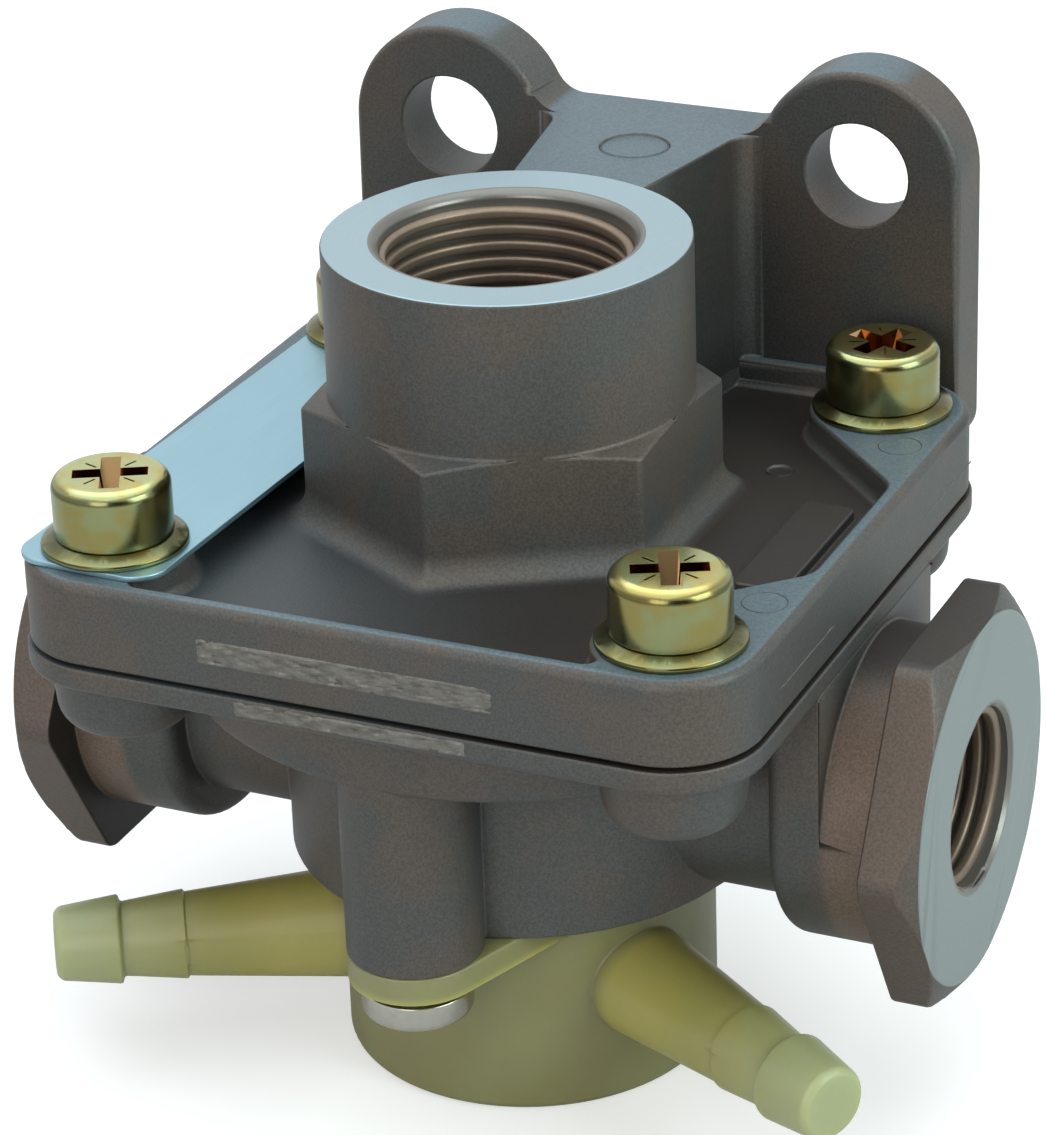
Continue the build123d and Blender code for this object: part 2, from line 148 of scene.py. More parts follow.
def ramp(tree, factor, low, high):
    node = addNode(tree, "ShaderNodeMapRange", {"interpolation_type": "SMOOTHSTEP"}, Value=factor)
    fill(tree, node, {"From Min": low, "From Max": high})
    return node.outputs["Result"]


def noise(tree, place, scale, detail=2.0, roughness=0.5):
    return addNode(tree, "ShaderNodeTexNoise", Vector=place, Scale=scale, Detail=detail,
                   Roughness=roughness).outputs["Fac"]


def bump(tree, height, strength, reach):
    return addNode(tree, "ShaderNodeBump", Height=height, Strength=strength,
                   Distance=reach).outputs["Normal"]


def objectPlace(tree):
    # Object coordinates in millimetres, as a vector and as its three parts
    place = scaleVector(tree, addNode(tree, "ShaderNodeTexCoord").outputs["Object"], 1 / mm)
    parts = addNode(tree, "ShaderNodeSeparateXYZ", i0=place).outputs
    return place, parts[0], parts[1], parts[2]


def facingParts(tree):
    normal = addNode(tree, "ShaderNodeNewGeometry").outputs["Normal"]
    return addNode(tree, "ShaderNodeSeparateXYZ", i0=normal).outputs


def newMaterial(name):
    material = bpy.data.materials.new(name)
    material.use_nodes = True
    tree = material.node_tree
    tree.nodes.clear()
    output = tree.nodes.new("ShaderNodeOutputMaterial")
    shader = tree.nodes.new("ShaderNodeBsdfPrincipled")
    tree.links.new(shader.outputs["BSDF"], output.inputs["Surface"])
    return material, tree, shader


# Materials; places in them are in millimetres, and pairs are the start and end of a change

casting = {
    "colour": (0.074, 0.069, 0.062, 1), "warm": (0.094, 0.071, 0.057, 1), "cool": (0.060, 0.068, 0.068, 1),
    "blotchScale": 0.09, "blotch": (0.42, 0.62), "evenShare": 0.5,
    "grainScale": 4.2, "grain": (0.36, 0.64), "mottleLow": 0.80, "mottleRise": 0.40,
    "metallic": 0.3, "roughness": 0.42, "grainRoughness": 0.12, "specular": 0.4,
    "bump": 0.6, "grainHeight": 0.00004,
}
# Painted light on the outlets: painted warm light on faces turned forwards or down, and painted shade in the
# crease at each collar
outletLightAndShade = {
    "collar": (0.135, 0.097, 0.073, 1), "hexagon": (0.090, 0.068, 0.054, 1), "seam": (0.02, 0.018, 0.016, 1),
    "turned": (0.1, 0.75), "downShare": 0.7, "collarStart": (33.0, 34.4), "hexagonStart": (38.0, 38.8),
    "seamPlace": 38.4, "seamHalf": 0.11, "seamReach": 17.0, "seamShare": 0.8,
}
# Painted light on level faces: a painted sky reflection in the open and painted shade in the pocket
levelSkyAndShade = {
    "open": (0.100, 0.140, 0.162, 1), "left": (0.048, 0.057, 0.062, 1), "right": (0.023, 0.018, 0.014, 1),
    "turned": (0.86, 0.98), "share": 0.9, "across": (-18.0, 20.0), "pocketTop": (54.2, 54.8),
    "hexagonFoot": 57.0, "hexagonTop": 69.5,
}
# Painted shade: darker upright walls at the rear and darker front faces on the ears
paintedShade = {
    "wallShare": 0.45, "wallDepth": (17.0, 21.0), "wallEnd": 31.3, "wallTurned": (0.5, 0.9),
    "earShare": 0.28, "earFront": 31.2, "earTurned": (0.6, 0.95),
}
# Turned faces, with painted light: a lighter, bluer top, a greyer side and painted shade in the bores
turnedSkin = {
    "top": (0.31, 0.415, 0.46, 1), "side": (0.215, 0.26, 0.255, 1), "bore": (0.17, 0.165, 0.15, 1),
    "inletTop": (76.92, 76.96), "inletRing": 16.2, "inletBore": 11.9, "inletFoot": 60.0,
    "outletEnd": (43.12, 43.16), "outletBore": 8.6, "outletFoot": 26.0, "outletHeight": 30.8,
    "ringScale": 5.0, "ringLow": 0.9, "ringRise": 0.14, "ringHeight": 0.12, "metallic": 0.35, "polish": 0.14,
}


def castMaterial():
    material, tree, shader = newMaterial("castAlloy")
    place, x, y, z = objectPlace(tree)
    facing = facingParts(tree)
    forward = negative(tree, facing[1])
    side = absolute(tree, x)
    lift = minus(tree, z, turnedSkin["outletHeight"])
    blotch = noise(tree, place, casting["blotchScale"], detail=3.0)
    grain = noise(tree, place, casting["grainScale"], detail=4.0, roughness=0.7)
    colour = mixColour(tree, ramp(tree, blotch, *casting["blotch"]), casting["cool"], casting["warm"])
    colour = mixColour(tree, casting["evenShare"], colour, casting["colour"])
    # Painted warm light: browner on the outlet collars and hexagons, where they face forwards or down
    outward = larger(tree, forward, times(tree, facing[2], -outletLightAndShade["downShare"]))
    share = times(tree, ramp(tree, outward, *outletLightAndShade["turned"]),
                  ramp(tree, side, *outletLightAndShade["collarStart"]))
    warmLight = mixColour(tree, ramp(tree, side, *outletLightAndShade["hexagonStart"]), outletLightAndShade["collar"],
                      outletLightAndShade["hexagon"])
    colour = mixColour(tree, share, colour, warmLight)
    # Painted light: level faces get a painted sky reflection, bluer and lighter in the open, and painted
    # shade in the pocket round the boss, darkest towards its right side
    isHexagon = times(tree, isAbove(tree, z, levelSkyAndShade["hexagonFoot"]),
                      isBelow(tree, z, levelSkyAndShade["hexagonTop"]))
    isPaintedLevel = times(tree, ramp(tree, facing[2], *levelSkyAndShade["turned"]), rest(tree, isHexagon))
    pocketShade = mixColour(tree, ramp(tree, x, *levelSkyAndShade["across"]), levelSkyAndShade["left"], levelSkyAndShade["right"])
    level = mixColour(tree, ramp(tree, z, *levelSkyAndShade["pocketTop"]), pocketShade, levelSkyAndShade["open"])
    colour = mixColour(tree, times(tree, isPaintedLevel, levelSkyAndShade["share"]), colour, level)
    # Mottled skin left by the die, with painted shade on the upright walls at the rear and on the ears'
    # front faces
    mottle = times(tree, ramp(tree, grain, *casting["grain"]), casting["mottleRise"])
    mottle = plus(tree, casting["mottleLow"], mottle)
    isRear = times(tree, ramp(tree, y, *paintedShade["wallDepth"]), isBelow(tree, y, paintedShade["wallEnd"]))
    isWall = times(tree, ramp(tree, absolute(tree, facing[0]), *paintedShade["wallTurned"]),
                   isAbove(tree, z, levelSkyAndShade["pocketTop"][0]))
    isEar = times(tree, isAbove(tree, y, paintedShade["earFront"]), ramp(tree, forward, *paintedShade["earTurned"]))
    dark = plus(tree, times(tree, times(tree, isRear, isWall), paintedShade["wallShare"]),
                times(tree, isEar, paintedShade["earShare"]))
    colour = scaleVector(tree, colour, times(tree, mottle, rest(tree, dark)))
    # Painted shade: a dark line in the crease where each outlet's collar meets its hexagon
    off = absolute(tree, minus(tree, side, outletLightAndShade["seamPlace"]))
    isCreaseShade = times(tree, isBelow(tree, off, outletLightAndShade["seamHalf"]),
                   isBelow(tree, absolute(tree, lift), outletLightAndShade["seamReach"]))
    colour = mixColour(tree, times(tree, isCreaseShade, outletLightAndShade["seamShare"]), colour, outletLightAndShade["seam"])
    # Turned faces: the top of the inlet boss, both outlet ends and the walls of the bores
    radius = distance(tree, x, y)
    sideRadius = distance(tree, y, lift)
    isTop = times(tree, ramp(tree, z, *turnedSkin["inletTop"]),
                  isBelow(tree, radius, turnedSkin["inletRing"]))
    isInletBore = times(tree, isAbove(tree, z, turnedSkin["inletFoot"]),
                        isBelow(tree, radius, turnedSkin["inletBore"]))
    isEnd = ramp(tree, side, *turnedSkin["outletEnd"])
    isSide = isAbove(tree, side, turnedSkin["outletFoot"])
    isOutletBore = times(tree, isSide, isBelow(tree, sideRadius, turnedSkin["outletBore"]))
    isTurned = larger(tree, larger(tree, isTop, isInletBore), larger(tree, isEnd, isOutletBore))
    # Turning marks are rings of noise round each bore's axis
    ringRadius = plus(tree, times(tree, isSide, sideRadius), times(tree, rest(tree, isSide), radius))
    rings = noise(tree, vector(tree, ringRadius, side), turnedSkin["ringScale"])
    # Painted light: the turned faces are bluer and lighter where they face up than on the outlet ends, and
    # darker in the bores as painted shade
    litTone = mixColour(tree, isSide, turnedSkin["top"], turnedSkin["side"])
    litTone = mixColour(tree, larger(tree, isInletBore, isOutletBore), litTone, turnedSkin["bore"])
    shade = plus(tree, turnedSkin["ringLow"], times(tree, rings, turnedSkin["ringRise"]))
    litTone = scaleVector(tree, litTone, shade)
    rough = plus(tree, casting["roughness"], times(tree, grain, casting["grainRoughness"]))
    height = plus(tree, times(tree, grain, rest(tree, isTurned)),
                  times(tree, times(tree, rings, isTurned), turnedSkin["ringHeight"]))
    fill(tree, shader, {
        "Base Color": mixColour(tree, isTurned, colour, litTone),
        "Metallic": plus(tree, casting["metallic"], times(tree, isTurned, turnedSkin["metallic"])),
        "Roughness": minus(tree, rough, times(tree, isTurned, turnedSkin["polish"])),
        "Specular IOR Level": casting["specular"],
        "Normal": bump(tree, height, casting["bump"], casting["grainHeight"]),
    })
    return material


# Painted light: the brighter root colour stands in for light at the barbs' roots
nylon = {
    "root": (0.37, 0.33, 0.085, 1), "colour": (0.30, 0.28, 0.075, 1), "pale": (0.33, 0.36, 0.20, 1),
    "cup": (0.21, 0.20, 0.085, 1), "rootLightFade": (22.0, 30.0), "paleFade": (27.0, 44.0), "paleShare": 0.9,
    "barbStart": (16.8, 19.0), "barbTop": (17.5, 18.5), "cloudScale": 0.12, "cloud": (0.35, 0.65),
    "cloudShare": 0.15, "roughness": 0.4, "subsurface": 0.6, "spread": (1.0, 0.9, 0.35), "depth": 0.005,
    "grainScale": 1.6, "bump": 0.25, "grainHeight": 0.00004,
}


def nylonMaterial():
    # Deeper in the cup, with painted light at the roots of the barbs, and paler towards their tips
    material, tree, shader = newMaterial("naturalNylon")
    place, x, y, z = objectPlace(tree)
    cloud = noise(tree, place, nylon["cloudScale"], detail=3.0)
    reach = distance(tree, x, y)
    litBarb = mixColour(tree, ramp(tree, reach, *nylon["rootLightFade"]), nylon["root"], nylon["colour"])
    isBarb = times(tree, ramp(tree, reach, *nylon["barbStart"]),
                   rest(tree, ramp(tree, z, *nylon["barbTop"])))
    colour = mixColour(tree, isBarb, nylon["cup"], litBarb)
    for share in (times(tree, ramp(tree, reach, *nylon["paleFade"]), nylon["paleShare"]),
                  times(tree, ramp(tree, cloud, *nylon["cloud"]), nylon["cloudShare"])):
        colour = mixColour(tree, share, colour, nylon["pale"])
    grain = noise(tree, place, nylon["grainScale"], detail=3.0)
    fill(tree, shader, {
        "Base Color": colour, "Roughness": nylon["roughness"], "Subsurface Weight": nylon["subsurface"],
        "Subsurface Radius": nylon["spread"], "Subsurface Scale": nylon["depth"],
        "Normal": bump(tree, grain, nylon["bump"], nylon["grainHeight"]),
    })
    return material


# Painted light: brightness of upright and level faces, and a painted shade band between them
zinc = {
    "gold": (0.50, 0.43, 0.15, 1), "green": (0.47, 0.50, 0.24, 1), "sheenScale": 0.35, "sheen": (0.38, 0.62),
    "level": (0.75, 0.98), "bandStart": (0.08, 0.25), "bandEnd": (0.45, 0.65), "shadeBandShare": 0.28,
    "screwSideLighting": 0.56, "screwTopLighting": 1.0, "washerSideLighting": 0.42, "washerTopLighting": 0.15,
    "roughness": 0.16, "scratchScale": 4.0, "scratchRoughness": 0.12, "bump": 0.15, "scratchHeight": 0.00003,
}


def zincMaterial(name, sides, tops):
    # Yellow passivation with painted light: its brightness is given for upright and for level faces, with a
    # painted shade band between
    material, tree, shader = newMaterial(name)
    place = objectPlace(tree)[0]
    upward = facingParts(tree)[2]
    share = plus(tree, sides, times(tree, ramp(tree, upward, *zinc["level"]), tops - sides))
    shadeBand = minus(tree, ramp(tree, upward, *zinc["bandStart"]), ramp(tree, upward, *zinc["bandEnd"]))
    share = minus(tree, share, times(tree, shadeBand, zinc["shadeBandShare"]))
    sheen = ramp(tree, noise(tree, place, zinc["sheenScale"]), *zinc["sheen"])
    scratch = noise(tree, place, zinc["scratchScale"], detail=3.0)
    fill(tree, shader, {
        "Base Color": scaleVector(tree, mixColour(tree, sheen, zinc["gold"], zinc["green"]), share),
        "Metallic": 1.0,
        "Roughness": plus(tree, zinc["roughness"], times(tree, scratch, zinc["scratchRoughness"])),
        "Normal": bump(tree, scratch, zinc["bump"], zinc["scratchHeight"]),
    })
    return material


plate = {
    "colour": (0.225, 0.375, 0.445, 1), "pale": (0.29, 0.445, 0.515, 1), "stretch": (6.0, 0.15, 1.0),
    "metallic": 0.85, "roughness": 0.34, "brushRoughness": 0.15, "bump": 0.2, "brushHeight": 0.00002,
}


def plateMaterial():
    material, tree, shader = newMaterial("brushedPlate")
    brush = noise(tree, stretch(tree, objectPlace(tree)[0], plate["stretch"]), 1.0, detail=3.0)
    fill(tree, shader, {
        "Base Color": mixColour(tree, brush, plate["colour"], plate["pale"]),
        "Metallic": plate["metallic"],
        "Roughness": plus(tree, plate["roughness"], times(tree, brush, plate["brushRoughness"])),
        "Normal": bump(tree, brush, plate["bump"], plate["brushHeight"]),
    })
    return material


# Painted light: a bright floor as a painted reflection and brown walls as painted shade
recess = {
    "floor": (0.88, 0.66, 0.34, 1), "walls": (0.24, 0.11, 0.03, 1), "turned": (0.3, 0.8), "roughness": 0.14,
}


def recessMaterial():
    # Amber film in the cross recess, with a bright painted reflection on its floor and brown painted shade
    # on its walls
    material, tree, shader = newMaterial("amberRecess")
    upward = ramp(tree, absolute(tree, facingParts(tree)[2]), *recess["turned"])
    fill(tree, shader, {"Base Color": mixColour(tree, upward, recess["walls"], recess["floor"]),
                        "Metallic": 1.0, "Roughness": recess["roughness"]})
    return material


scar = {
    "dark": (0.092, 0.084, 0.073, 1), "pale": (0.150, 0.143, 0.125, 1), "stretch": (0.45, 1.0, 1.3),
    "patchScale": 1.3, "patch": (0.36, 0.60), "metallic": 0.3, "roughness": 0.45,
    "grainScale": 3.0, "bump": 0.6, "grainHeight": 0.00006,
}


def scarMaterial():
    material, tree, shader = newMaterial("brokenGate")
    place = objectPlace(tree)[0]
    stretched = stretch(tree, place, scar["stretch"])
    patch = noise(tree, stretched, scar["patchScale"], detail=4.0, roughness=0.65)
    grain = noise(tree, place, scar["grainScale"], detail=3.0)
    fill(tree, shader, {
        "Base Color": mixColour(tree, ramp(tree, patch, *scar["patch"]), scar["dark"], scar["pale"]),
        "Metallic": scar["metallic"], "Roughness": scar["roughness"],
        "Normal": bump(tree, grain, scar["bump"], scar["grainHeight"]),
    })
    return material


plain = {
    "silver": {"name": "whiteZinc", "colour": (0.50, 0.48, 0.42), "metallic": 1.0, "roughness": 0.22,
               "grainScale": 1.2},
    "machined": {"name": "cutAlloy", "colour": (0.25, 0.19, 0.14), "metallic": 0.7, "roughness": 0.46,
                 "grainScale": 1.2},
    "rubber": {"name": "blackRubber", "colour": (0.025, 0.025, 0.025), "metallic": 0.0, "roughness": 0.6,
               "grainScale": 1.5},
    "brass": {"name": "turnedBrass", "colour": (0.70, 0.52, 0.24), "metallic": 1.0, "roughness": 0.3,
              "grainScale": 2.0},
    "spring_steel": {"name": "springWire", "colour": (0.55, 0.55, 0.56), "metallic": 1.0, "roughness": 0.28,
                     "grainScale": 3.0},
}
plainGrain = {"darkShare": 0.75, "bump": 0.3, "height": 0.00003}


def plainMaterial(look):
    material, tree, shader = newMaterial(look["name"])
    grain = noise(tree, objectPlace(tree)[0], look["grainScale"], detail=3.0)
    darker = tuple(plainGrain["darkShare"] * c for c in look["colour"]) + (1,)
    fill(tree, shader, {
        "Base Color": mixColour(tree, grain, look["colour"] + (1,), darker),
        "Metallic": look["metallic"], "Roughness": look["roughness"],
        "Normal": bump(tree, grain, plainGrain["bump"], plainGrain["height"]),
    })
    return material


materials = {
    "casting": castMaterial(),
    "nylon": nylonMaterial(),
    "zinc": zincMaterial("yellowZinc", zinc["screwSideLighting"], zinc["screwTopLighting"]),
    "washer": zincMaterial("washerZinc", zinc["washerSideLighting"], zinc["washerTopLighting"]),
    "plate": plateMaterial(),
    "recess": recessMaterial(),
    "scar": scarMaterial(),
}
for slot, look in plain.items():
    materials[slot] = plainMaterial(look)
for row in frame["record"]["subparts"]:
    cadObject = frame["nodes"][row["node"]]
    cadObject.data.materials.clear()
    cadObject.data.materials.append(materials[row["material_slot"]])
print("materials made:", len(materials))


# Pieces made from the CAD meshes

def finishPiece(piece, body, nodes):
    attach(piece, body)
    if nodes:
        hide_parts(*nodes)


def linkObject(name, mesh):
    made = bpy.data.objects.new(name, mesh)
    bpy.context.scene.collection.objects.link(made)
    return made


soft = {
    "cover": {"width": 0.25, "angle": 32, "segments": 3, "wide": 0.8},
    "body": {"width": 0.25, "angle": 32, "segments": 2},
    "exhaust_cap": {"width": 0.2, "angle": 32, "segments": 2},
    "name_plate": {"width": 0.08, "angle": 40, "segments": 2},
    "washer": {"width": 0.14, "angle": 25, "segments": 2},
}
room = {"heights": 2.5, "corner": math.radians(14)}
weld = {"distance": 2e-6, "flat": math.radians(0.6)}
bracket = {
    "front": 31.4, "holeOffset": 20.15, "holeHeight": 73.85, "hole": 7.0, "foot": 60.0, "runOut": 11.6,
    "webTop": 76.55, "webDepth": 0.4, "bossRadius": 16.0, "bossRear": 8.0, "bossNear": 0.5,
    "footSide": 27.5, "footFront": 31.0, "footBottom": 47.3, "footTop": 50.6,
}


def hasRoom(edge, width):
    # True where both faces beside the edge are deep enough, and not slivers, so that a bevel fits
    for face in edge.link_faces:
        if len(face.verts) == 3 and 2 * face.calc_area() / edge.calc_length() < room["heights"] * width:
            return False
        for loop in face.loops:
            if loop.vert in edge.verts and (loop.edge == edge or loop.link_loop_prev.edge == edge):
                if loop.calc_angle() < room["corner"]:
                    return False
    return True


def edgeMiddle(edge):
    return (edge.verts[0].co + edge.verts[1].co) / 2 / mm


def isBracketRim(edge):
    # True on the front outer edge of the bracket's sides and ears, the one with a wide rounding
    middle = edgeMiddle(edge)
    fromHole = math.hypot(abs(middle.x) - bracket["holeOffset"], middle.z - bracket["holeHeight"])
    isFront = all(abs(v.co.y / mm - bracket["front"]) < 0.05 for v in edge.verts)
    isOuter = fromHole > bracket["hole"] and abs(middle.x) > bracket["runOut"]
    return isFront and edge.is_convex and isOuter and middle.z > bracket["foot"]


def isTightCorner(edge):
    # True where the web meets the ears' run-outs and the boss, and at the bracket's two lower corners
    middle = edgeMiddle(edge)
    atEar = abs(middle.y - bracket["front"]) < 0.1 and abs(middle.x) < bracket["runOut"]
    fromBoss = abs(math.hypot(middle.x, middle.y) - bracket["bossRadius"])
    atBoss = middle.y > bracket["bossRear"] and fromBoss < bracket["bossNear"]
    atWeb = (atEar or atBoss) and middle.z > bracket["webTop"] - bracket["webDepth"]
    isFront = bracket["footFront"] < middle.y < bracket["front"] + 0.1
    isLow = bracket["footBottom"] < middle.z < bracket["footTop"]
    return atWeb or isFront and isLow and abs(middle.x) > bracket["footSide"]


def dropPockets(shell):
    # Leaves the largest island only, so that no closed pocket stays inside the piece
    islands = []
    seen = set()
    for start in shell.verts:
        if start in seen:
            continue
        seen.add(start)
        island = [start]
        for vert in island:
            for edge in vert.link_edges:
                other = edge.other_vert(vert)
                if other not in seen:
                    seen.add(other)
                    island.append(other)
        islands.append(island)
    islands.sort(key=len)
    for island in islands[:-1]:
        bmesh.ops.delete(shell, geom=island, context="VERTS")


def softenedCopy(node, name, slot, sizes, finish=None):
    # The CAD shape again, its flat faces joined and its sharp edges bevelled where a bevel fits
    shell = bmesh.new()
    shell.from_mesh(frame["nodes"][node].data)
    bmesh.ops.remove_doubles(shell, verts=shell.verts, dist=weld["distance"])
    dropPockets(shell)
    bmesh.ops.dissolve_limit(shell, angle_limit=weld["flat"], verts=shell.verts, edges=shell.edges)
    weight = shell.edges.layers.float.new("bevel_weight_edge")
    widest = sizes.get("wide", sizes["width"])
    for edge in shell.edges:
        isSharp = edge.calc_face_angle(0) > math.radians(sizes["angle"])
        isWide = widest > sizes["width"] and isSharp and isBracketRim(edge)
        wanted = widest if isWide else sizes["width"]
        fits = isSharp and hasRoom(edge, wanted * mm) and not isTightCorner(edge)
        edge[weight] = wanted / widest if fits else 0.0
        edge.smooth = not isSharp or edge[weight] > 0
    mesh = bpy.data.meshes.new(name)
    shell.to_mesh(mesh)
    shell.free()
    for face in mesh.polygons:
        face.use_smooth = True
    mesh.materials.append(materials[finish or slot])
    piece = linkObject(name, mesh)
    bevel = piece.modifiers.new("edges", "BEVEL")
    bevel.width = widest * mm
    bevel.segments = sizes["segments"]
    bevel.limit_method = "WEIGHT"
    bevel.use_clamp_overlap = False
    bevel.loop_slide = False
    normals = piece.modifiers.new("normals", "WEIGHTED_NORMAL")
    normals.keep_sharp = True
    finishPiece(piece, "valve", [node])


softenedCopy("cover", "castCover", "casting", soft["cover"])
softenedCopy("body", "castBody", "casting", soft["body"])
softenedCopy("exhaust_cap", "mouldedCap", "nylon", soft["exhaust_cap"])
softenedCopy("name_plate", "bareNamePlate", "plate", soft["name_plate"])
corners = ("front_left", "front_right", "rear_left", "rear_right")
for corner in corners:
    softenedCopy("cover_washer_" + corner, "washer_" + corner, "zinc", soft["washer"], "washer")
print("castings, cap, name plate and washers softened")


def makeSpring(name):
    # The CAD spring again, as a plain copy of its mesh
    piece = linkObject(name, frame["nodes"]["return_spring"].data.copy())
    finishPiece(piece, "valve", ["return_spring"])
    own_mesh(piece)


makeSpring("closingSpring")
print("spring made")


# Node trees for what is turned, cut or threaded; inside them a unit is a millimetre

def newTree(name, inputs):
    tree = bpy.data.node_groups.new(name, "GeometryNodeTree")
    face = tree.interface
    face.new_socket("Geometry", in_out="INPUT", socket_type="NodeSocketGeometry")
    for label, kind, value in inputs:
        socket = face.new_socket(label, in_out="INPUT", socket_type="NodeSocket" + kind)
        if value is not None:
            socket.default_value = value
    face.new_socket("Geometry", in_out="OUTPUT", socket_type="NodeSocketGeometry")
    return tree, tree.nodes.new("NodeGroupInput").outputs, tree.nodes.new("NodeGroupOutput").inputs


def useGroup(tree, group, values):
    node = addNode(tree, "GeometryNodeGroup", {"node_tree": group})
    fill(tree, node, values)
    return node.outputs[0]


def move(tree, geometry, **change):
    return addNode(tree, "GeometryNodeTransform", Geometry=geometry, **change).outputs[0]


def sweep(tree, curve, outline):
    path = addNode(tree, "GeometryNodeSetCurveNormal", {"mode": "Z_UP"}, Curve=curve).outputs[0]
    node = addNode(tree, "GeometryNodeCurveToMesh")
    fill(tree, node, {"Curve": path, "Profile Curve": outline})
    return node


def makeTurnedTree():
    # A solid of revolution with a flat top and foot: radius, bottom, top and the rounding of two edges
    tree, given, result = newTree("turnedSolid", [
        ("Radius", "Float", 5.0), ("Bottom", "Float", 0.0), ("Top", "Float", 1.0),
        ("Top Edge", "Float", 0.1), ("Bottom Edge", "Float", 0.1), ("Segments", "Int", 96)])
    inwards = negative(tree, given["Radius"])
    low = negative(tree, given["Bottom"])
    high = negative(tree, given["Top"])
    outline = addNode(tree, "GeometryNodeCurvePrimitiveQuadrilateral", {"mode": "POINTS"})
    fill(tree, outline, {"Point 1": vector(tree, inwards, low), "Point 2": vector(tree, 0.0, low),
                         "Point 3": vector(tree, 0.0, high), "Point 4": vector(tree, inwards, high)})
    index = addNode(tree, "GeometryNodeInputIndex").outputs[0]
    atFoot = times(tree, maths(tree, "COMPARE", index, 1.0, 0.1), given["Bottom Edge"])
    atTop = times(tree, maths(tree, "COMPARE", index, 2.0, 0.1), given["Top Edge"])
    rounded = addNode(tree, "GeometryNodeFilletCurve", {"mode": "POLY"}, Curve=outline.outputs[0], Count=6,
                      Radius=plus(tree, atFoot, atTop))
    circle = addNode(tree, "GeometryNodeCurvePrimitiveCircle", Resolution=given["Segments"],
                     Radius=given["Radius"])
    swept = sweep(tree, circle.outputs[0], rounded.outputs[0])
    merged = addNode(tree, "GeometryNodeMergeByDistance", Geometry=swept.outputs[0], Distance=0.002)
    tree.links.new(merged.outputs[0], result[0])
    return tree


ridge = {"edge": 0.3, "edgePoints": 4, "runOutTurns": 0.6, "endShare": 0.05}


def makeThreadTree():
    # A right-handed ridge on a cylinder's wall, sunk into it at the foot and running out at both ends
    tree, given, result = newTree("threadRidge", [
        ("Wall Radius", "Float", 11.0), ("Start", "Float", 0.0), ("Length", "Float", 10.0),
        ("Pitch", "Float", 1.5), ("Height", "Float", 0.8), ("Root Width", "Float", 1.44),
        ("Crest Width", "Float", 0.78), ("Sunk", "Float", 0.1), ("Outward", "Float", 0.0),
        ("Steps per Turn", "Int", 72)])
    turns = maths(tree, "DIVIDE", given["Length"], given["Pitch"])
    spiral = addNode(tree, "GeometryNodeCurveSpiral", Resolution=given["Steps per Turn"], Rotations=turns)
    fill(tree, spiral, {"Start Radius": given["Wall Radius"], "End Radius": given["Wall Radius"],
                        "Height": negative(tree, given["Length"])})
    sign = minus(tree, 1.0, times(tree, given["Outward"], 2.0))
    foot = times(tree, negative(tree, given["Sunk"]), sign)
    crest = times(tree, given["Height"], sign)
    rootHalf = times(tree, given["Root Width"], 0.5)
    crestHalf = times(tree, given["Crest Width"], 0.5)
    outline = addNode(tree, "GeometryNodeCurvePrimitiveQuadrilateral", {"mode": "POINTS"})
    fill(tree, outline, {"Point 1": vector(tree, foot, negative(tree, rootHalf)),
                         "Point 2": vector(tree, foot, rootHalf), "Point 3": vector(tree, crest, crestHalf),
                         "Point 4": vector(tree, crest, negative(tree, crestHalf))})
    rounded = addNode(tree, "GeometryNodeFilletCurve", {"mode": "POLY"}, Curve=outline.outputs[0],
                      Count=ridge["edgePoints"], Radius=ridge["edge"])
    along = addNode(tree, "GeometryNodeSplineParameter").outputs["Factor"]
    turn = times(tree, along, turns)
    nearest = maths(tree, "MINIMUM", turn, minus(tree, turns, turn))
    scale = maths(tree, "MINIMUM", maths(tree, "DIVIDE", nearest, ridge["runOutTurns"]), 1.0)
    swept = sweep(tree, spiral.outputs[0], rounded.outputs[0])
    fill(tree, swept, {"Scale": larger(tree, scale, ridge["endShare"]), "Fill Caps": True})
    lift = vector(tree, z=plus(tree, given["Start"], given["Length"]))
    tree.links.new(move(tree, swept.outputs[0], Translation=lift), result[0])
    return tree


def makeRecessTree():
    # The tool that cuts a cross recess with four thin marks between its arms
    tree, given, result = newTree("crossRecess", [
        ("Span", "Float", 6.4), ("Width", "Float", 1.7), ("Depth", "Float", 2.8), ("Tip", "Float", 0.5),
        ("Tip Width", "Float", 0.7), ("Mark Length", "Float", 1.3), ("Mark Width", "Float", 0.2),
        ("Mark Height", "Float", 0.7), ("Mark Radius", "Float", 2.35)])
    arm = addNode(tree, "GeometryNodeMeshCube")
    fill(tree, arm, {"Size": vector(tree, given["Span"], given["Width"], times(tree, given["Depth"], 2.0)),
                     "Vertices Z": 3})
    place = addNode(tree, "GeometryNodeInputPosition").outputs[0]
    parts = addNode(tree, "ShaderNodeSeparateXYZ", i0=place).outputs
    narrowed = vector(tree, times(tree, parts[0], given["Tip"]), times(tree, parts[1], given["Tip Width"]),
                      parts[2])
    shaped = addNode(tree, "GeometryNodeSetPosition", Geometry=arm.outputs[0],
                     Selection=isBelow(tree, parts[2], -0.1), Position=narrowed).outputs[0]
    mark = addNode(tree, "GeometryNodeMeshCube")
    size = vector(tree, given["Mark Length"], given["Mark Width"], given["Mark Height"])
    tree.links.new(size, mark.inputs["Size"])
    moved = move(tree, mark.outputs[0], Translation=vector(tree, given["Mark Radius"]))
    union = addNode(tree, "GeometryNodeMeshBoolean", {"operation": "UNION", "solver": "EXACT"})
    pieces = [shaped, move(tree, shaped, Rotation=(0, 0, math.radians(90)))]
    for quarter in range(4):
        pieces.append(move(tree, moved, Rotation=(0, 0, math.radians(45 + 90 * quarter))))
    for piece in pieces:
        tree.links.new(piece, union.inputs["Mesh 2"])
    tree.links.new(union.outputs[0], result[0])
    return tree


